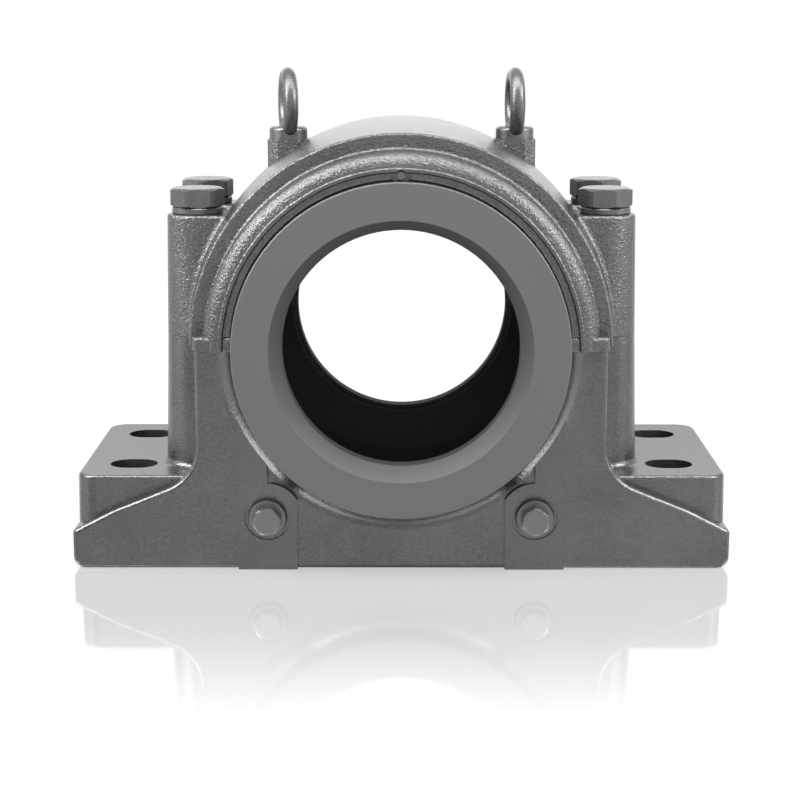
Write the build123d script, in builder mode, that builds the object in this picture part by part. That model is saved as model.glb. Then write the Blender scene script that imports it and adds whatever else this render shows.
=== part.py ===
from build123d import *
import math
import os

# Split plummer-block housing: X along the foot, Y along the shaft, Z up.
# The origin is on the underside, below the middle of the shaft bore. Millimetres.

# Overall sizes
length = 610.0
centre_height = 210.0
body_width = 259.0
ring_width = 334.0

# Foot with its four slots
foot_inset = 0.8
foot_setback = 14.5
foot_height = 85.0
foot_draft = 1.0
foot_corner = 20.0
foot_edge = 3.5
slot_inset = 50.0
slot_spacing_y = 130.0
slot_length = 45.0
slot_width = 35.0

# End walls, whose outline sweeps down from the split to the toes of the foot
wall_thickness = 26.0
wall_inset = 4.2
waist_spread = 0.5
waist_height = 87.0
waist_sweep = 44.0
knee_inset = 39.0
knee_height = 56.0
knee_round = 60.0
toe_height = 36.0
toe_round = 5.0
toe_bottom_round = 11.0
wall_edge = 4.5

# Seal rings, one round each shaft opening
ring_radius = 152.5
ring_edge = 1.6
ring_root = 24.0
opening_radius = 108.0
opening_land = 22.0
bevel_width = 10.7
bevel_depth = 22.4
inner_bevel = 6.0

# Bearing seat and the grease chambers beside it
seat_diameter = 340.0
seat_width = 122.0
chamber_radius = 174.0
chamber_round = 8.0
chamber_end = 109.5
throat_radius = 150.0
sump_half = 148.0
sump_floor = 28.0
sump_top = 125.0
sump_start = 70.0
sump_round = 20.0

# Cap: crowned barrel, end faces and the rounded shoulder round each ring
end_face_width = 14.7
barrel_crown = 5.8
barrel_edge = 2.5
shoulder_width = 16.0
shoulder_proud = 30.5
shoulder_round = 14.0
shoulder_root = 3.0
gutter_width = 9.5
gutter_depth = 5.0
gutter_edge = 1.5
gutter_round = 2.5

# Lips that close the shoulder at the split
lip_lap = 2.5
lip_reach = 9.0
lip_height = 13.0
lip_proud = 28.5
lip_depth = 48.0
lip_corner = 10.0
lip_round = 4.5
lip_split_edge = 1.2

# Bolt columns at the four corners of the body, with a web between each pair
bolt_inset = 1.7
bolt_spacing_y = 98.0
column_radius = 30.3
column_arm = 70.0
cap_draft = 1.0
base_draft = 1.6
column_root = 6.0
column_edge = 3.0
cap_seat_height = 113.0
web_reach = 15.0
web_drop = 14.0

# Cap bolts and spring washers
bolt_diameter = 30.0
bolt_clearance = 3.0
bolt_across_flats = 46.0
bolt_head_height = 17.9
bolt_engagement = 45.0
bolt_hole_spare = 8.0
bolt_point = 3.0
bolt_face_diameter = 42.7
bolt_face_height = 0.8
washer_bore = 31.0
washer_diameter = 47.6
washer_height = 6.0
washer_edge = 0.9
washer_gap = 4.0
washer_slant = 3.0
thread_gap = 0.1
head_bevel = 30.0
head_land = 0.95
head_corners = 1.1
bolt_turns = {
    "front_left": 9.0,
    "front_right": -7.5,
    "rear_left": 19.5,
    "rear_right": -16.0,
}

# Lifting eye bolts on their bosses
eye_spacing = 216.0
eye_boss_proud = 1.5
eye_boss_width = 38.4
eye_boss_depth = 46.0
eye_boss_corner = 10.0
eye_boss_drop = 45.0
eye_ring_outside = 68.0
eye_section = 14.0
eye_ring_centre = 33.0
eye_collar_diameter = 36.0
eye_collar_height = 11.5
eye_collar_edge = 3.4
eye_point = 2.0
eye_boss_edge = 3.0
eye_thread = 20.0
eye_shank = 28.0
eye_hole_spare = 3.0
eye_turns = {"left": 9.0, "right": 3.0}

# Drain plugs, their pads and sealing rings
plug_spacing = 247.0
plug_height = 50.0
pad_half_width = 27.5
pad_round = 32.0
pad_proud = 3.0
spot_diameter = 43.0
spot_depth = 2.0
plug_thread = 27.0
plug_thread_length = 19.0
plug_collar_diameter = 34.0
plug_collar_height = 5.0
plug_across_flats = 24.0
plug_hex_height = 12.0
plug_seal_diameter = 36.0
plug_seal_thickness = 2.0
plug_turns = {"left": 8.0, "right": 26.0}

# Lubrication plugs in pockets of the gutter, above each ring
pocket_length = 19.0
pocket_width = 9.0
pocket_depth = 4.0
nipple_across_flats = 7.0
nipple_head = 7.5
nipple_thread = 6.0
nipple_length = 12.0
nipple_passage = 4.0
nipple_turn = 30.0
nipple_edge = 0.8
nipple_face = 6.8

# Dowel pins at the split, between the bolt columns
dowel_diameter = 12.0
dowel_length = 40.0
dowel_edge = 1.0
dowel_spare = 1.0

# Places that follow from the sizes above
half_length = length / 2
half_body = body_width / 2
half_ring = ring_width / 2
half_seat = seat_width / 2
foot_length = length - 2 * foot_inset
foot_depth = body_width - 2 * foot_setback
slot_spacing_x = length - 2 * slot_inset
gutter_radius = ring_radius + gutter_width
shoulder_radius = gutter_radius + shoulder_width
barrel_radius = shoulder_radius + end_face_width
crown_radius = barrel_radius + barrel_crown
wall_top_half = barrel_radius - wall_inset
waist_half = wall_top_half + waist_spread
knee_half = half_length - knee_inset
bolt_spacing_x = 2 * (barrel_radius - bolt_inset)
web_half = bolt_spacing_x / 2 + web_reach
lip_start = ring_radius - lip_lap
lip_end = shoulder_radius + lip_reach
bevel_radius = opening_radius + bevel_width
bevel_start = half_ring - bevel_depth
land_end = bevel_start - opening_land
shoulder_face = half_body + shoulder_proud
gutter_floor = shoulder_face - gutter_depth
lip_face = half_body + lip_proud
seat_top = centre_height + cap_seat_height
bolt_hole_depth = bolt_engagement + bolt_hole_spare
plug_seat = half_body + pad_proud - spot_depth
nipple_seat = gutter_floor - pocket_depth
nipple_height = centre_height + ring_radius + gutter_width / 2
eye_boss_rise = math.sqrt(crown_radius**2 - ((eye_spacing - eye_boss_width) / 2) ** 2)
eye_seat_height = centre_height + eye_boss_rise + eye_boss_proud
margin = 1.0
touch = 0.05
sides = {"front": -1, "rear": 1}
ends = {"left": -1, "right": 1}

split_plane = Plane.XY.offset(centre_height)
shaft_down = Axis((0, 0, centre_height), (0, 1, 0))
shaft_up = Axis((0, 0, centre_height), (0, -1, 0))


def near(shapes, **place):
    """Shapes whose centre lies at the given coordinates, either side of the middle planes."""
    def fits(shape):
        centre = shape.center()
        return all(abs(abs(getattr(centre, axis)) - at) < touch for axis, at in place.items())
    return ShapeList([shape for shape in shapes if fits(shape)])


def facing(side, station, x=0.0, height=0.0, turn=0.0):
    """Plane across the shaft at a station, facing out of the front or rear of the housing."""
    return Plane(
        origin=(x, side * station, height),
        x_dir=(-side * math.cos(math.radians(turn)), 0, math.sin(math.radians(turn))),
        z_dir=(0, side, 0),
    )


def standing(x, y, height, turn=0.0):
    """Level plane at a point, turned about the vertical."""
    return Plane(
        origin=(x, y, height),
        x_dir=(math.cos(math.radians(turn)), math.sin(math.radians(turn)), 0),
        z_dir=(0, 0, 1),
    )


def wall_outline():
    """Outline of an end wall, drawn flat."""
    with BuildSketch() as outline:
        with BuildLine():
            FilletPolyline(
                (0, 0),
                (half_length, 0),
                (half_length, toe_height),
                (knee_half, knee_height),
                (waist_half, waist_height),
                (wall_top_half, centre_height),
                (0, centre_height),
                radius=[toe_bottom_round, toe_round, knee_round, waist_sweep, 0],
            )
            mirror(about=Plane.YZ)
        make_face()
    return outline.sketch


def pad_outline():
    """Outline of a drain plug pad round its plug: straight on the outer side, round inside."""
    with BuildSketch() as outline:
        Circle(pad_round)
        Rectangle(2 * pad_half_width, 2 * pad_round, mode=Mode.INTERSECT)
        Rectangle(2 * pad_half_width, plug_height, align=(Align.CENTER, Align.MAX))
        Rectangle(pad_half_width, centre_height - plug_height, align=(Align.MIN, Align.MIN))
    return outline.sketch


def column_plan():
    """Plan of the four bolt columns with the arms that tie them to the body."""
    with BuildSketch() as plan:
        with GridLocations(bolt_spacing_x, bolt_spacing_y, 2, 2):
            Circle(column_radius)
        with GridLocations(bolt_spacing_x - column_arm, bolt_spacing_y, 2, 2):
            Rectangle(column_arm, 2 * column_radius)
    return plan.sketch


def hollow_profile():
    """Section of everything cored and bored out, as radius against shaft station."""
    with BuildSketch() as profile:
        with BuildLine():
            section = FilletPolyline(
                (seat_diameter / 2, 0),
                (seat_diameter / 2, half_seat),
                (chamber_radius, half_seat),
                (chamber_radius, chamber_end),
                (throat_radius, chamber_end),
                (opening_radius + inner_bevel, land_end),
                (opening_radius, land_end + inner_bevel),
                (opening_radius, bevel_start),
                (bevel_radius, half_ring),
                (0, half_ring),
                radius=[0, 0, chamber_round, chamber_round, 0, 0, 0, 0],
            )
            mirror(section, about=Plane.XZ)
            Line((0, -half_ring), (0, half_ring))
        make_face()
    return profile.sketch


def screw(seat, across_flats, head_height, collar_diameter, collar_height, thread, depth, point):
    """Screw standing on a seat plane: hexagon with turned corners, round collar, bevelled shank."""
    land = head_land * across_flats / 2
    flare = head_height / math.tan(math.radians(head_bevel))
    with BuildPart() as body:
        with BuildSketch(seat):
            RegularPolygon(across_flats / 2, 6, major_radius=False)
        extrude(amount=head_height)
        upright = (Align.CENTER, Align.CENTER, Align.MIN)
        with Locations(seat):
            Cylinder(head_corners * across_flats / 2, head_height, align=upright, mode=Mode.INTERSECT)
            Cone(land + flare, land, head_height, align=upright, mode=Mode.INTERSECT)
            Cone(land, land + flare, head_height, align=upright, mode=Mode.INTERSECT)
        with BuildSketch(seat):
            Circle(collar_diameter / 2)
        extrude(amount=collar_height)
        with BuildSketch(seat):
            Circle(thread / 2)
        extrude(amount=-depth)
        tip = body.faces().sort_by(Axis(seat.origin, seat.z_dir))[0]
        chamfer(tip.edges(), point)
    return body.part


# Lower half of the housing, cast in one piece with its foot
with BuildPart() as base:
    with BuildSketch():
        RectangleRounded(foot_length, foot_depth, foot_corner)
    extrude(amount=foot_height, taper=foot_draft)
    fillet(base.faces().sort_by(Axis.Z)[-1].edges(), foot_edge)

    # End walls with rounded outer edges
    for side in sides.values():
        with BuildSketch(facing(side, half_body)):
            add(wall_outline())
        extrude(amount=-wall_thickness)
    rims = base.faces().filter_by(Axis.Y).group_by(Axis.Y)
    rim_edges = rims[0].edges() + rims[-1].edges()
    fillet(rim_edges.filter_by_position(Axis.Z, margin, centre_height - margin), wall_edge)

    # Body between the end walls and the bolt columns, which spread towards the foot
    with BuildSketch(split_plane):
        Rectangle(2 * wall_top_half, body_width - 2 * wall_thickness)
    extrude(amount=-centre_height)
    with BuildSketch(split_plane):
        Rectangle(2 * web_half, bolt_spacing_y)
    extrude(amount=-(centre_height - foot_height), taper=-base_draft)
    with BuildSketch(split_plane):
        add(column_plan())
    extrude(amount=-(centre_height - foot_height), taper=-base_draft)
    column_feet = near(base.edges(), Z=foot_height).filter_by(
        lambda e: wall_top_half + margin < abs(e.center().X) < slot_spacing_x / 2
        and abs(e.center().Y) < bolt_spacing_y
    )
    fillet(column_feet, column_root)

    # Seal rings, rising from the end walls on a hollow sweep
    with BuildSketch(split_plane) as ring_profile:
        with BuildLine():
            wall = Line((ring_radius + ring_root, 0), (ring_radius + ring_root, half_body))
            root = TangentArc(wall @ 1, (ring_radius, half_body + ring_root), tangent=(-1, 0))
            rim = Polyline(root @ 1, (ring_radius, half_ring), (0, half_ring))
            mirror(wall + root + rim, about=Plane.XZ)
            Line((0, -half_ring), (0, half_ring))
        make_face()
        fillet(near(ring_profile.vertices(), X=ring_radius, Y=half_ring), ring_edge)
    revolve(axis=shaft_down, revolution_arc=180)

    # Pads for the drain plugs
    for side in sides.values():
        with BuildSketch(facing(side, half_body + pad_proud)):
            with Locations((plug_spacing / 2, plug_height)):
                add(pad_outline())
            mirror(about=Plane.YZ)
        extrude(amount=-wall_thickness)

    # Seat, chambers, openings and the sumps that the drain plugs empty
    with BuildSketch(split_plane):
        add(hollow_profile())
    revolve(axis=shaft_down, mode=Mode.SUBTRACT)
    for side in sides.values():
        with BuildSketch(facing(side, chamber_end)):
            with Locations((0, (sump_floor + sump_top) / 2)):
                RectangleRounded(2 * sump_half, sump_top - sump_floor, sump_round)
        extrude(amount=-(chamber_end - sump_start), mode=Mode.SUBTRACT)

    # Foot slots
    with BuildSketch():
        with GridLocations(slot_spacing_x, slot_spacing_y, 2, 2):
            SlotOverall(slot_length, slot_width)
    extrude(amount=foot_height, mode=Mode.SUBTRACT)

    # Threaded holes for the cap bolts, dowel holes and drain holes
    with BuildSketch(split_plane):
        with GridLocations(bolt_spacing_x, bolt_spacing_y, 2, 2):
            Circle(bolt_diameter / 2 + thread_gap)
    extrude(amount=-bolt_hole_depth, mode=Mode.SUBTRACT)
    with BuildSketch(split_plane):
        with GridLocations(bolt_spacing_x, 0, 2, 1):
            Circle(dowel_diameter / 2 + thread_gap)
    extrude(amount=-(dowel_length / 2 + dowel_spare), mode=Mode.SUBTRACT)
    for side in sides.values():
        with BuildSketch(facing(side, half_body + pad_proud)):
            with Locations((plug_spacing / 2, plug_height), (-plug_spacing / 2, plug_height)):
                Circle(spot_diameter / 2)
        extrude(amount=-spot_depth, mode=Mode.SUBTRACT)
        with BuildSketch(facing(side, plug_seat)):
            with Locations((plug_spacing / 2, plug_height), (-plug_spacing / 2, plug_height)):
                Circle(plug_thread / 2 + thread_gap)
        extrude(amount=-(plug_seat - chamber_end), mode=Mode.SUBTRACT)

# Lips, made first so that their corners stay round all the way into the shoulder
with BuildPart() as lips:
    for side in sides.values():
        with BuildSketch(facing(side, lip_face)) as lip_faces:
            with Locations((0, centre_height)):
                Rectangle(2 * lip_end, lip_height, align=(Align.CENTER, Align.MIN))
                Rectangle(2 * lip_start, lip_height, align=(Align.CENTER, Align.MIN), mode=Mode.SUBTRACT)
            fillet(near(lip_faces.vertices(), X=lip_end, Z=centre_height + lip_height), lip_corner)
        extrude(amount=-lip_depth)
    lip_rims = lips.faces().filter_by(Axis.Y).group_by(Axis.Y)
    lip_edges = (lip_rims[0].edges() + lip_rims[-1].edges()).filter_by(
        lambda e: abs(e.center().X) > lip_start + margin and e.center().Z > centre_height + margin
    )
    fillet(lip_edges, lip_round)
    lip_foot = lips.edges().group_by(Axis.Z)[0].filter_by(
        lambda e: abs(e.center().Y) > lip_face - lip_round and abs(e.center().X) > lip_start + margin
    )
    fillet(lip_foot, lip_split_edge)

# Upper half of the housing, cast in one piece with its lifting bosses
with BuildPart() as cap:
    # Crowned barrel, end faces, shoulders, gutters and rings, all turned about the shaft
    with BuildSketch(split_plane) as cap_profile:
        with BuildLine():
            ThreePointArc(
                (barrel_radius, half_body),
                (crown_radius, 0),
                (barrel_radius, -half_body),
            )
            section = FilletPolyline(
                (barrel_radius, half_body),
                (shoulder_radius, half_body),
                (shoulder_radius, shoulder_face),
                (gutter_radius, shoulder_face),
                (gutter_radius, gutter_floor),
                (ring_radius, gutter_floor),
                (ring_radius, half_ring),
                (0, half_ring),
                radius=[shoulder_root, shoulder_round, gutter_edge, gutter_round, gutter_round, ring_edge],
            )
            mirror(section, about=Plane.XZ)
            Line((0, -half_ring), (0, half_ring))
        make_face()
        fillet(near(cap_profile.vertices(), X=barrel_radius, Y=half_body), barrel_edge)
    revolve(axis=shaft_up, revolution_arc=180)

    # Bolt columns, each pair with a lower web
    with BuildSketch(split_plane):
        add(column_plan())
    extrude(amount=cap_seat_height, taper=cap_draft)
    with BuildSketch(split_plane):
        Rectangle(2 * web_half, bolt_spacing_y)
    extrude(amount=cap_seat_height - web_drop, taper=cap_draft)
    straight = cap.edges().filter_by(lambda e: e.geom_type in (GeomType.LINE, GeomType.CIRCLE))
    web_rims = near(straight, Z=seat_top - web_drop).filter_by(
        lambda e: e.geom_type == GeomType.LINE and abs(e.center().X) > bolt_spacing_x / 2
    )
    fillet(near(straight, Z=seat_top) + web_rims, column_edge)
    seams = cap.edges().filter_by(GeomType.BSPLINE).filter_by(
        lambda e: abs(e.center().Y) < bolt_spacing_y and e.length > 2 * column_root
    )
    fillet(seams, column_root)

    add(lips)

    # Lifting bosses
    with BuildSketch(Plane.XY.offset(eye_seat_height)) as eye_bosses:
        with GridLocations(eye_spacing, 0, 2, 1):
            Rectangle(eye_boss_width, eye_boss_depth)
        chamfer(eye_bosses.vertices(), eye_boss_corner)
        fillet(eye_bosses.vertices(), eye_boss_edge)
    extrude(amount=-eye_boss_drop)

    # Seat, chambers and openings
    with BuildSketch(split_plane):
        add(hollow_profile())
    revolve(axis=shaft_down, mode=Mode.SUBTRACT)

    # Clearance holes for the cap bolts, dowel holes and threaded holes for the eye bolts
    with BuildSketch(split_plane):
        with GridLocations(bolt_spacing_x, bolt_spacing_y, 2, 2):
            Circle((bolt_diameter + bolt_clearance) / 2)
    extrude(amount=cap_seat_height, mode=Mode.SUBTRACT)
    with BuildSketch(split_plane):
        with GridLocations(bolt_spacing_x, 0, 2, 1):
            Circle(dowel_diameter / 2 + thread_gap)
    extrude(amount=dowel_length / 2 + dowel_spare, mode=Mode.SUBTRACT)
    with BuildSketch(Plane.XY.offset(eye_seat_height)):
        with GridLocations(eye_spacing, 0, 2, 1):
            Circle(eye_thread / 2 + thread_gap)
    extrude(amount=-(eye_shank + eye_hole_spare), mode=Mode.SUBTRACT)

    # Pockets for the lubrication plugs and the passages that lead from them to the chambers
    for side in sides.values():
        with BuildSketch(facing(side, gutter_floor + gutter_round, height=nipple_height)):
            SlotOverall(pocket_length, pocket_width)
        extrude(amount=-(gutter_round + pocket_depth), mode=Mode.SUBTRACT)
        with BuildSketch(facing(side, nipple_seat, height=nipple_height)):
            Circle(nipple_thread / 2 + thread_gap)
        extrude(amount=-nipple_length, mode=Mode.SUBTRACT)
        with BuildSketch(facing(side, nipple_seat, height=nipple_height)):
            Circle(nipple_passage / 2)
        extrude(amount=-(nipple_seat - chamber_end), mode=Mode.SUBTRACT)

os.makedirs("parts", exist_ok=True)
base.part.label = "base"
export_step(base.part, "parts/base.step")
cap.part.label = "cap"
export_step(cap.part, "parts/cap.step")

# Cap bolts with their spring washers
for row, side in sides.items():
    for end, way in ends.items():
        name = f"{row}_{end}"
        x = way * bolt_spacing_x / 2
        y = side * bolt_spacing_y / 2
        turn = bolt_turns[name]

        with BuildPart() as washer:
            with BuildSketch(standing(x, y, seat_top)):
                Circle(washer_diameter / 2)
                Circle(washer_bore / 2, mode=Mode.SUBTRACT)
            extrude(amount=washer_height)
            chamfer(washer.edges().sort_by(SortBy.LENGTH)[-2:], washer_edge)
            with BuildSketch(standing(x, y, seat_top, turn)):
                with Locations((washer_slant, 0)):
                    Rectangle(washer_gap, washer_diameter / 2, align=(Align.CENTER, Align.MIN))
            extrude(amount=washer_height, mode=Mode.SUBTRACT)
        washer.part.label = f"spring_washer_{name}"
        export_step(washer.part, f"parts/spring_washer_{name}.step")

        bolt = screw(
            standing(x, y, seat_top + washer_height, turn),
            bolt_across_flats,
            bolt_head_height,
            bolt_face_diameter,
            bolt_face_height,
            bolt_diameter,
            washer_height + cap_seat_height + bolt_engagement,
            bolt_point,
        )
        bolt.label = f"cap_bolt_{name}"
        export_step(bolt, f"parts/cap_bolt_{name}.step")

# Dowel pins and eye bolts
for end, way in ends.items():
    with BuildPart() as dowel:
        with BuildSketch(standing(way * bolt_spacing_x / 2, 0, centre_height - dowel_length / 2)):
            Circle(dowel_diameter / 2)
        extrude(amount=dowel_length)
        chamfer(dowel.edges(), dowel_edge)
    dowel.part.label = f"dowel_pin_{end}"
    export_step(dowel.part, f"parts/dowel_pin_{end}.step")

    with BuildPart() as eye_bolt:
        seat = standing(way * eye_spacing / 2, 0, eye_seat_height, eye_turns[end])
        with BuildSketch(seat):
            Circle(eye_collar_diameter / 2)
        extrude(amount=eye_collar_height)
        fillet(eye_bolt.edges().group_by(Axis.Z)[-1], eye_collar_edge)
        with Locations(seat):
            with Locations(Location((0, 0, eye_ring_centre), (0, 90, 0))):
                Torus((eye_ring_outside - eye_section) / 2, eye_section / 2)
        split(bisect_by=seat, keep=Keep.TOP)
        with BuildSketch(seat):
            Circle(eye_thread / 2)
        extrude(amount=-eye_shank)
        chamfer(eye_bolt.edges().sort_by(Axis.Z)[0], eye_point)
    eye_bolt.part.label = f"eye_bolt_{end}"
    export_step(eye_bolt.part, f"parts/eye_bolt_{end}.step")

# Drain plugs with their sealing rings
for row, side in sides.items():
    for end, way in ends.items():
        name = f"{row}_{end}"
        x = way * plug_spacing / 2
        with BuildPart() as seal:
            with BuildSketch(facing(side, plug_seat, x, plug_height)):
                Circle(plug_seal_diameter / 2)
                Circle(plug_thread / 2 + thread_gap, mode=Mode.SUBTRACT)
            extrude(amount=plug_seal_thickness)
        seal.part.label = f"plug_seal_{name}"
        export_step(seal.part, f"parts/plug_seal_{name}.step")

        plug = screw(
            facing(side, plug_seat + plug_seal_thickness, x, plug_height, plug_turns[end]),
            plug_across_flats,
            plug_collar_height + plug_hex_height,
            plug_collar_diameter,
            plug_collar_height,
            plug_thread,
            plug_thread_length,
            bolt_point,
        )
        plug.label = f"drain_plug_{name}"
        export_step(plug, f"parts/drain_plug_{name}.step")

    nipple = screw(
        facing(side, nipple_seat, height=nipple_height, turn=nipple_turn),
        nipple_across_flats,
        nipple_head,
        nipple_face,
        nipple_edge,
        nipple_thread,
        nipple_length - dowel_spare,
        nipple_edge,
    )
    nipple.label = f"lubrication_plug_{row}"
    export_step(nipple, f"parts/lubrication_plug_{row}.step")
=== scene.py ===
import bpy
import math
from mathutils import Matrix, Vector


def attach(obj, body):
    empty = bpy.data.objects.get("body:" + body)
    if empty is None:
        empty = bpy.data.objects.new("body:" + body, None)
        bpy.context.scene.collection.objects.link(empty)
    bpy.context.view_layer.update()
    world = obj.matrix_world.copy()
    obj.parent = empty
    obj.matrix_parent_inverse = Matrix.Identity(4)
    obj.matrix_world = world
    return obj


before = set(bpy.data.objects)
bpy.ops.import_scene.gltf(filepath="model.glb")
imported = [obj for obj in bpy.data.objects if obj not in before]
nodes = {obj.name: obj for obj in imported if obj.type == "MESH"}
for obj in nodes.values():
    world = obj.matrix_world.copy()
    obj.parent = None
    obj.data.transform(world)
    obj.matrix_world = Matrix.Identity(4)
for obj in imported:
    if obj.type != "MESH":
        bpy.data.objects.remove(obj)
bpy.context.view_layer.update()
shaftHeight = 0.210


# Small helpers for the shader trees
def newNode(tree, kind, **settings):
    node = tree.nodes.new(kind)
    for name, value in settings.items():
        setattr(node, name, value)
    return node


def plug(tree, value, socket):
    if isinstance(value, bpy.types.NodeSocket):
        tree.links.new(value, socket)
    else:
        socket.default_value = value


def calc(tree, operation, first, second=0.0):
    node = newNode(tree, "ShaderNodeMath", operation=operation)
    plug(tree, first, node.inputs[0])
    plug(tree, second, node.inputs[1])
    return node.outputs[0]


def ramp(tree, value, start, end, low=0.0, high=1.0):
    node = newNode(tree, "ShaderNodeMapRange", interpolation_type="SMOOTHSTEP")
    plug(tree, value, node.inputs["Value"])
    limits = {"From Min": start, "From Max": end, "To Min": low, "To Max": high}
    for label, number in limits.items():
        plug(tree, number, node.inputs[label])
    return node.outputs["Result"]


def blendColor(tree, mask, low, high):
    node = newNode(tree, "ShaderNodeMix", data_type="RGBA")
    plug(tree, mask, node.inputs["Factor"])
    plug(tree, low, node.inputs["A"])
    plug(tree, high, node.inputs["B"])
    return node.outputs["Result"]


def noise(tree, vector, scale, detail=2.0, roughness=0.5):
    node = newNode(tree, "ShaderNodeTexNoise")
    plug(tree, vector, node.inputs["Vector"])
    plug(tree, scale, node.inputs["Scale"])
    node.inputs["Detail"].default_value = detail
    node.inputs["Roughness"].default_value = roughness
    return node.outputs["Fac"]


def newGroup(name, takes, gives):
    group = bpy.data.node_groups.new(name, "ShaderNodeTree")
    for label, kind in takes:
        group.interface.new_socket(label, in_out="INPUT", socket_type=kind)
    for label, kind in gives:
        group.interface.new_socket(label, in_out="OUTPUT", socket_type=kind)
    return group, newNode(group, "NodeGroupInput"), newNode(group, "NodeGroupOutput")


def useGroup(tree, group, **values):
    node = newNode(tree, "ShaderNodeGroup", node_tree=group)
    for label, value in values.items():
        plug(tree, value, node.inputs[label])
    return node.outputs


# Sand-cast skin under paint: fine grain, lumps, a few pits and slow changes of tone
skinSizes = {
    "grainWeight": 0.85,
    "grainDetail": 2.5,
    "grainRoughness": 0.55,
    "lumpWeight": 0.35,
    "lumpDetail": 2.0,
    "pitWeight": 0.35,
    "pitScale": 130.0,
    "pitEdge": (0.04, 0.16),
    "pitPatchScale": 34.0,
    "pitPatchEdge": (0.60, 0.66),
    "toneScale": 11.0,
    "toneDetail": 4.0,
    "toneRoughness": 0.6,
    "speckleScale": 520.0,
    "plainDetail": 1.0,
}
castSkin, skinIn, skinOut = newGroup(
    "castSkin",
    (("Place", "NodeSocketVector"), ("Grain", "NodeSocketFloat"), ("Lumps", "NodeSocketFloat")),
    (("Height", "NodeSocketFloat"), ("Tone", "NodeSocketFloat"), ("Speckle", "NodeSocketFloat")),
)
skinPlace = skinIn.outputs["Place"]
grain = noise(
    castSkin,
    skinPlace,
    skinIn.outputs["Grain"],
    skinSizes["grainDetail"],
    skinSizes["grainRoughness"],
)
lumps = noise(castSkin, skinPlace, skinIn.outputs["Lumps"], skinSizes["lumpDetail"])
pits = newNode(castSkin, "ShaderNodeTexVoronoi")
plug(castSkin, skinPlace, pits.inputs["Vector"])
pits.inputs["Scale"].default_value = skinSizes["pitScale"]
pitDepth = ramp(castSkin, pits.outputs["Distance"], *skinSizes["pitEdge"], 1.0, 0.0)
pitPatches = noise(castSkin, skinPlace, skinSizes["pitPatchScale"], skinSizes["plainDetail"])
pitChoice = ramp(castSkin, pitPatches, *skinSizes["pitPatchEdge"])
grainHeight = calc(castSkin, "MULTIPLY", grain, skinSizes["grainWeight"])
lumpHeight = calc(castSkin, "MULTIPLY", lumps, skinSizes["lumpWeight"])
pitHeight = calc(castSkin, "MULTIPLY", pitDepth, pitChoice)
pitHeight = calc(castSkin, "MULTIPLY", pitHeight, skinSizes["pitWeight"])
skinHeight = calc(castSkin, "ADD", grainHeight, lumpHeight)
skinHeight = calc(castSkin, "SUBTRACT", skinHeight, pitHeight)
tone = noise(
    castSkin,
    skinPlace,
    skinSizes["toneScale"],
    skinSizes["toneDetail"],
    skinSizes["toneRoughness"],
)
speckle = noise(castSkin, skinPlace, skinSizes["speckleScale"], skinSizes["plainDetail"])
plug(castSkin, skinHeight, skinOut.inputs["Height"])
plug(castSkin, tone, skinOut.inputs["Tone"])
plug(castSkin, speckle, skinOut.inputs["Speckle"])

# Zones of the housing, told apart by their distance from the shaft and along it
zoneSizes = {
    "ringFace": 0.1663,
    "openingLand": 0.1445,
    "openingBore": 0.1094,
    "cavityEnd": 0.1106,
    "cavityRadius": 0.1763,
    "throatEnd": 0.1240,
    "throatRadius": 0.1515,
    "sumpHalf": 0.1487,
    "sumpTop": 0.1262,
    "sumpFloor": 0.0260,
    "seatHalf": 0.0610,
    "seatRadius": 0.1716,
    "bevelRadius": 0.1195,
    "roughRadius": 0.1628,
    "edge": 0.0004,
}
zones, zonesIn, zonesOut = newGroup(
    "housingZones",
    (("Place", "NodeSocketVector"),),
    (
        ("Turned", "NodeSocketFloat"),
        ("Inside", "NodeSocketFloat"),
        ("Seat", "NodeSocketFloat"),
        ("Rough", "NodeSocketFloat"),
        ("Radius", "NodeSocketFloat"),
    ),
)
split = newNode(zones, "ShaderNodeSeparateXYZ")
plug(zones, zonesIn.outputs["Place"], split.inputs[0])
across, along, height = split.outputs
rise = calc(zones, "SUBTRACT", height, shaftHeight)
acrossSquared = calc(zones, "MULTIPLY", across, across)
riseSquared = calc(zones, "MULTIPLY", rise, rise)
radius = calc(zones, "SQRT", calc(zones, "ADD", acrossSquared, riseSquared))
station = calc(zones, "ABSOLUTE", along)
reach = calc(zones, "ABSOLUTE", across)


def above(value, limit):
    return ramp(zones, value, limit - zoneSizes["edge"], limit + zoneSizes["edge"])


def below(value, limit):
    return ramp(zones, value, limit - zoneSizes["edge"], limit + zoneSizes["edge"], 1.0, 0.0)


def both(*masks):
    result = masks[0]
    for mask in masks[1:]:
        result = calc(zones, "MULTIPLY", result, mask)
    return result


def either(*masks):
    result = masks[0]
    for mask in masks[1:]:
        result = calc(zones, "MAXIMUM", result, mask)
    return result


cavity = both(below(station, zoneSizes["cavityEnd"]), below(radius, zoneSizes["cavityRadius"]))
throat = both(below(station, zoneSizes["throatEnd"]), below(radius, zoneSizes["throatRadius"]))
land = both(below(station, zoneSizes["openingLand"]), below(radius, zoneSizes["openingBore"]))
sump = both(
    below(station, zoneSizes["cavityEnd"]),
    below(reach, zoneSizes["sumpHalf"]),
    below(height, zoneSizes["sumpTop"]),
    above(height, zoneSizes["sumpFloor"]),
)
seatZone = both(below(station, zoneSizes["seatHalf"]), below(radius, zoneSizes["seatRadius"]))
bevelZone = both(
    above(station, zoneSizes["openingLand"]), below(radius, zoneSizes["bevelRadius"])
)
roughZone = both(above(height, shaftHeight), above(radius, zoneSizes["roughRadius"]))
plug(zones, either(above(station, zoneSizes["ringFace"]), bevelZone), zonesOut.inputs["Turned"])
plug(zones, either(cavity, throat, land, sump), zonesOut.inputs["Inside"])
plug(zones, seatZone, zonesOut.inputs["Seat"])
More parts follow.
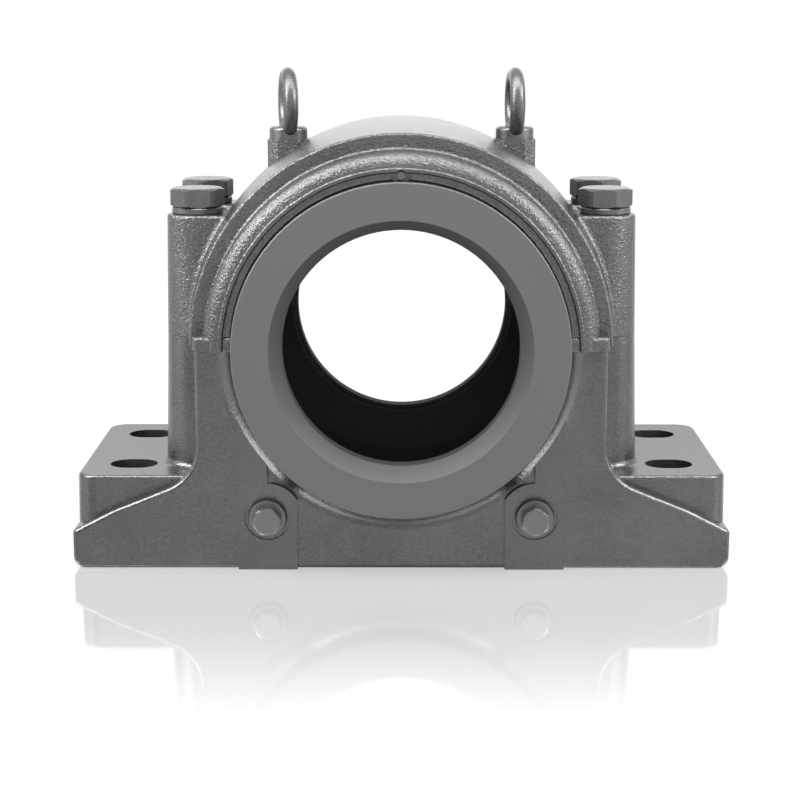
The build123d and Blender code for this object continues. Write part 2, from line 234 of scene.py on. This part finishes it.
plug(zones, roughZone, zonesOut.inputs["Rough"])
plug(zones, radius, zonesOut.inputs["Radius"])
print("shader groups made")

# Enamel of the two castings: rough above the split, smoother below, satin where turned, with
# painted shade darkening the inside
castPaint = {
    "paint": (0.122, 0.123, 0.126, 1.0),
    "paintDark": (0.092, 0.093, 0.095, 1.0),
    "turned": (0.138, 0.139, 0.142, 1.0),
    # painted shade: the inside colour is darker than the outside paint and stands in for the
    # shade deep in the bore, cavity and sump
    "inside": (0.060, 0.060, 0.060, 1.0),
    "seat": (0.16, 0.16, 0.16, 1.0),
    "roughness": (0.17, 0.25),
    "turnedRoughness": 0.62,
    "insideRoughness": 0.80,
    "metal": 0.80,
    "insideMetal": 0.90,
    "grain": 460.0,
    "lumps": 120.0,
    "roughRelief": 1.0,
    "wallRelief": 0.35,
    "turnedRelief": 0.04,
    "reliefDepth": 0.0014,
    "toolMarks": 0.006,
    "toolMarkRate": 2100.0,
    "mottleEdge": (0.38, 0.62),
    "toneEdge": (0.3, 0.7),
    "gloss": 0.5,
}


def newMaterial(name):
    material = bpy.data.materials.new(name)
    material.use_nodes = True
    tree = material.node_tree
    place = newNode(tree, "ShaderNodeTexCoord").outputs["Object"]
    return material, tree, tree.nodes["Principled BSDF"], place


def addRelief(tree, shader, height, depth):
    bump = newNode(tree, "ShaderNodeBump")
    bump.inputs["Strength"].default_value = 1.0
    bump.inputs["Distance"].default_value = depth
    plug(tree, height, bump.inputs["Height"])
    plug(tree, bump.outputs["Normal"], shader.inputs["Normal"])


def makeCastPaint(settings):
    material, tree, shader, place = newMaterial("castPaint")
    skin = useGroup(tree, castSkin, Place=place, Grain=settings["grain"], Lumps=settings["lumps"])
    zone = useGroup(tree, zones, Place=place)
    mottle = calc(tree, "MULTIPLY", calc(tree, "ADD", skin["Tone"], skin["Speckle"]), 0.5)
    mottle = ramp(tree, mottle, *settings["mottleEdge"])
    color = blendColor(tree, mottle, settings["paintDark"], settings["paint"])
    color = blendColor(tree, zone["Turned"], color, settings["turned"])
    # painted shade: the bore, cavity, throat, land and sump take the darker inside colour
    color = blendColor(tree, zone["Inside"], color, settings["inside"])
    color = blendColor(tree, zone["Seat"], color, settings["seat"])
    plug(tree, color, shader.inputs["Base Color"])
    roughness = ramp(tree, skin["Tone"], *settings["toneEdge"], *settings["roughness"])
    roughness = ramp(tree, zone["Turned"], 0.0, 1.0, roughness, settings["turnedRoughness"])
    roughness = ramp(tree, zone["Inside"], 0.0, 1.0, roughness, settings["insideRoughness"])
    plug(tree, roughness, shader.inputs["Roughness"])
    amount = ramp(tree, zone["Rough"], 0.0, 1.0, settings["wallRelief"], settings["roughRelief"])
    amount = ramp(tree, zone["Turned"], 0.0, 1.0, amount, settings["turnedRelief"])
    relief = calc(tree, "MULTIPLY", skin["Height"], amount)
    marks = calc(tree, "SINE", calc(tree, "MULTIPLY", zone["Radius"], settings["toolMarkRate"]))
    marks = calc(tree, "MULTIPLY", marks, zone["Turned"])
    marks = calc(tree, "MULTIPLY", marks, settings["toolMarks"])
    addRelief(tree, shader, calc(tree, "ADD", relief, marks), settings["reliefDepth"])
    metal = ramp(tree, zone["Inside"], 0.0, 1.0, settings["metal"], settings["insideMetal"])
    plug(tree, metal, shader.inputs["Metallic"])
    shader.inputs["Specular IOR Level"].default_value = settings["gloss"]
    return material


# Enamel of the bolts, plugs and eye bolts, thinner and smoother than on the castings
boltPaint = {
    "paint": (0.122, 0.123, 0.126, 1.0),
    "paintDark": (0.092, 0.093, 0.095, 1.0),
    "roughness": (0.26, 0.42),
    "grain": 700.0,
    "lumps": 160.0,
    "reliefDepth": 0.00030,
    "toneEdge": (0.35, 0.65),
    "speckleEdge": (0.3, 0.7),
    "gloss": 0.5,
    "metal": 0.80,
}
plugPaint = dict(
    boltPaint,
    paint=(0.150, 0.151, 0.154, 1.0),
    paintDark=(0.128, 0.129, 0.132, 1.0),
)
sealFiber = dict(
    boltPaint,
    paint=(0.030, 0.030, 0.031, 1.0),
    paintDark=(0.018, 0.018, 0.019, 1.0),
    gloss=0.3,
    metal=0.0,
)


def makeBoltPaint(name, settings):
    material, tree, shader, place = newMaterial(name)
    skin = useGroup(tree, castSkin, Place=place, Grain=settings["grain"], Lumps=settings["lumps"])
    tone = ramp(tree, skin["Tone"], *settings["toneEdge"])
    color = blendColor(tree, tone, settings["paintDark"], settings["paint"])
    plug(tree, color, shader.inputs["Base Color"])
    roughness = ramp(tree, skin["Speckle"], *settings["speckleEdge"], *settings["roughness"])
    plug(tree, roughness, shader.inputs["Roughness"])
    addRelief(tree, shader, skin["Height"], settings["reliefDepth"])
    shader.inputs["Specular IOR Level"].default_value = settings["gloss"]
    shader.inputs["Metallic"].default_value = settings["metal"]
    return material


finishes = {
    "cast": makeCastPaint(castPaint),
    "machined": makeBoltPaint("boltPaint", boltPaint),
    "plug": makeBoltPaint("plugPaint", plugPaint),
    "seal": makeBoltPaint("sealFiber", sealFiber),
}
finishOf = {
    "base": "cast",
    "cap": "cast",
    "cap_bolt": "machined",
    "spring_washer": "machined",
    "eye_bolt": "machined",
    "dowel_pin": "machined",
    "drain_plug": "plug",
    "lubrication_plug": "plug",
    "plug_seal": "seal",
}
longestFirst = sorted(finishOf, key=len, reverse=True)
for name, node in nodes.items():
    kind = next(start for start in longestFirst if name.startswith(start))
    for slot in node.material_slots:
        slot.material = finishes[finishOf[kind]]
print("finishes set on", len(nodes), "nodes")

# Rounded bead between the shoulder and the gutter, over the upper half on both ends
gutterBead = {
    "ringRadius": 0.1622,
    "thickness": 0.0052,
    "station": 0.1588,
    "pocketRise": 0.15725,
    "pocketWidth": 0.0110,
    "pocketLength": 0.03,
    "pocketSteps": 64,
    "clearance": 0.0002,
    "cutBox": 0.4,
    "aroundSteps": 256,
    "sectionSteps": 24,
    "smoothAngle": 40.0,
}


def makeBead(name, settings, side):
    bpy.ops.object.select_all(action="DESELECT")
    bpy.ops.mesh.primitive_torus_add(
        location=(0.0, side * settings["station"], shaftHeight),
        rotation=(math.radians(90.0), 0.0, 0.0),
        major_segments=settings["aroundSteps"],
        minor_segments=settings["sectionSteps"],
        major_radius=settings["ringRadius"],
        minor_radius=settings["thickness"] / 2.0,
    )
    bead = bpy.context.object
    bead.name = name
    bpy.ops.object.transform_apply(location=True, rotation=True, scale=True)
    cutHeight = shaftHeight + settings["clearance"] - settings["cutBox"] / 2.0
    bpy.ops.mesh.primitive_cube_add(
        size=settings["cutBox"],
        location=(0.0, side * settings["station"], cutHeight),
    )
    lowerHalf = bpy.context.object
    bpy.ops.mesh.primitive_cylinder_add(
        vertices=settings["pocketSteps"],
        radius=settings["pocketWidth"] / 2.0,
        depth=settings["pocketLength"],
        location=(0.0, side * settings["station"], shaftHeight + settings["pocketRise"]),
        rotation=(math.radians(90.0), 0.0, 0.0),
    )
    pocket = bpy.context.object
    bpy.ops.object.select_all(action="DESELECT")
    bpy.context.view_layer.objects.active = bead
    bead.select_set(True)
    for tool in (lowerHalf, pocket):
        cut = bead.modifiers.new("cut", "BOOLEAN")
        cut.operation = "DIFFERENCE"
        cut.solver = "EXACT"
        cut.object = tool
        bpy.ops.object.modifier_apply(modifier=cut.name)
        bpy.data.objects.remove(tool)
    bpy.ops.object.shade_smooth_by_angle(angle=math.radians(settings["smoothAngle"]))
    bead.data.materials.clear()
    bead.data.materials.append(finishes["cast"])
    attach(bead, "root")


makeBead("gutterBeadFront", gutterBead, -1.0)
makeBead("gutterBeadRear", gutterBead, 1.0)
print("gutter beads made")

# Floor, studio and camera
studio = {
    "floorSize": 14.0,
    "floorColor": (0.10, 0.10, 0.10, 1.0),
    "floorGlow": 0.980,
    "mirror": 0.49,
    "mirrorRoughness": 0.05,
    "mirrorHold": 0.14,
    "mirrorReach": 0.60,
    "footprint": (0.300, 0.115),
    "fill": 0.14,
    "frontShade": 0.14,
    "frontEdge": (-0.05, 0.45),
    "backdrop": 1.0,
}
lamps = {
    "top": {"place": (0.1, -0.35, 1.6), "size": (1.6, 0.9), "power": 6.0},
    "front": {"place": (0.45, -2.3, 1.05), "size": (3.6, 1.6), "power": 27.0},
    "rim": {"place": (0.05, 0.85, 0.66), "size": (1.4, 0.30), "power": 2.0},
}
# Wide lamps on an arch over the housing, for the highlights along the shoulder
arch = {
    "middle": (0.0, -0.38, 0.28),
    "radius": 1.35,
    "size": (0.60, 0.80),
    "rises": (4, 32, 58, 84, 110, 146, 174),
    "powers": (3.0, 22.0, 14.0, 9.0, 10.0, 19.0, 4.5),
}
cameraSettings = {
    "place": (0.00410, -1.85707, 0.51739),
    "turn": (78.323, 0.0, 0.17),
    "lens": 86.84,
    "sensor": 36.0,
}


def beyond(tree, value, limit):
    past = calc(tree, "SUBTRACT", calc(tree, "ABSOLUTE", value), limit)
    return calc(tree, "MAXIMUM", past, 0.0)


# Pale floor that glows to the camera and in reflections, and mirrors near the footprint
def makeFloor(settings):
    bpy.ops.object.select_all(action="DESELECT")
    bpy.ops.mesh.primitive_plane_add(size=settings["floorSize"])
    floor = bpy.context.object
    floor.name = "floor"
    material, tree, shader, place = newMaterial("floorPaper")
    shader.inputs["Base Color"].default_value = settings["floorColor"]
    shader.inputs["Roughness"].default_value = 1.0
    shader.inputs["Specular IOR Level"].default_value = 0.0
    glow = newNode(tree, "ShaderNodeEmission")
    glow.inputs["Strength"].default_value = settings["floorGlow"]
    mirror = newNode(tree, "ShaderNodeBsdfGlossy")
    mirror.inputs["Roughness"].default_value = settings["mirrorRoughness"]
    paper = newNode(tree, "ShaderNodeAddShader")
    tree.links.new(shader.outputs[0], paper.inputs[0])
    tree.links.new(glow.outputs[0], paper.inputs[1])
    spot = newNode(tree, "ShaderNodeSeparateXYZ")
    plug(tree, place, spot.inputs[0])
    sideways = beyond(tree, spot.outputs["X"], settings["footprint"][0])
    forward = beyond(tree, spot.outputs["Y"], settings["footprint"][1])
    sidewaysSquared = calc(tree, "MULTIPLY", sideways, sideways)
    forwardSquared = calc(tree, "MULTIPLY", forward, forward)
    away = calc(tree, "SQRT", calc(tree, "ADD", sidewaysSquared, forwardSquared))
    polished = newNode(tree, "ShaderNodeMixShader")
    fade = (settings["mirrorHold"], settings["mirrorReach"])
    share = ramp(tree, away, *fade, settings["mirror"], 0.0)
    plug(tree, share, polished.inputs["Fac"])
    tree.links.new(paper.outputs[0], polished.inputs[1])
    tree.links.new(mirror.outputs[0], polished.inputs[2])
    seen = newNode(tree, "ShaderNodeMixShader")
    path = newNode(tree, "ShaderNodeLightPath")
    shown = calc(tree, "MAXIMUM", path.outputs["Is Camera Ray"], path.outputs["Is Glossy Ray"])
    plug(tree, shown, seen.inputs["Fac"])
    tree.links.new(shader.outputs[0], seen.inputs[1])
    tree.links.new(polished.outputs[0], seen.inputs[2])
    tree.links.new(seen.outputs[0], tree.nodes["Material Output"].inputs["Surface"])
    floor.data.materials.append(material)


# White to the camera, weak fill for the surfaces, and a dim front half for reflections
def makeWorld(settings):
    world = bpy.data.worlds.new("studio")
    bpy.context.scene.world = world
    world.use_nodes = True
    tree = world.node_tree
    path = newNode(tree, "ShaderNodeLightPath")
    way = newNode(tree, "ShaderNodeSeparateXYZ")
    plug(tree, newNode(tree, "ShaderNodeTexCoord").outputs["Generated"], way.inputs[0])
    levels = (settings["frontShade"], settings["backdrop"])
    mirrored = ramp(tree, way.outputs["Y"], *settings["frontEdge"], *levels)
    mirrored = calc(tree, "MAXIMUM", mirrored, path.outputs["Is Camera Ray"])
    seen = calc(tree, "MAXIMUM", path.outputs["Is Camera Ray"], path.outputs["Is Glossy Ray"])
    seen = calc(tree, "MAXIMUM", seen, path.outputs["Is Transmission Ray"])
    strength = newNode(tree, "ShaderNodeMapRange")
    plug(tree, seen, strength.inputs["Value"])
    strength.inputs["To Min"].default_value = settings["fill"]
    plug(tree, mirrored, strength.inputs["To Max"])
    background = tree.nodes["Background"]
    background.inputs["Color"].default_value = (1.0, 1.0, 1.0, 1.0)
    plug(tree, strength.outputs["Result"], background.inputs["Strength"])


def addLamp(name, settings):
    data = bpy.data.lights.new(name, "AREA")
    data.shape = "RECTANGLE"
    data.size, data.size_y = settings["size"]
    data.energy = settings["power"]
    lamp = bpy.data.objects.new(name, data)
    lamp.location = settings["place"]
    outward = (Vector(settings["place"]) - Vector((0.0, 0.0, shaftHeight))).normalized()
    level = outward.cross(Vector(settings.get("length", (1.0, 0.0, 0.0)))).normalized()
    lamp.rotation_euler = Matrix((level.cross(outward), level, outward)).transposed().to_euler()
    lamp.visible_camera = False
    bpy.context.scene.collection.objects.link(lamp)


def addArch(settings):
    middleX, middleY, middleZ = settings["middle"]
    for rise, power in zip(settings["rises"], settings["powers"]):
        side, up = -math.cos(math.radians(rise)), math.sin(math.radians(rise))
        lamp = {
            "place": (
                middleX + settings["radius"] * side,
                middleY,
                middleZ + settings["radius"] * up,
            ),
            "size": settings["size"],
            "power": power,
            "length": (up, 0.0, -side),
        }
        addLamp("arch", lamp)


makeFloor(studio)
makeWorld(studio)
for name, settings in lamps.items():
    addLamp(name, settings)
addArch(arch)
cameraData = bpy.data.cameras.new("camera")
cameraData.lens = cameraSettings["lens"]
cameraData.sensor_width = cameraSettings["sensor"]
camera = bpy.data.objects.new("camera", cameraData)
camera.location = cameraSettings["place"]
camera.rotation_euler = [math.radians(angle) for angle in cameraSettings["turn"]]
bpy.context.scene.collection.objects.link(camera)
bpy.context.scene.camera = camera
bpy.context.scene.view_settings.view_transform = "Standard"
print("studio and camera set")
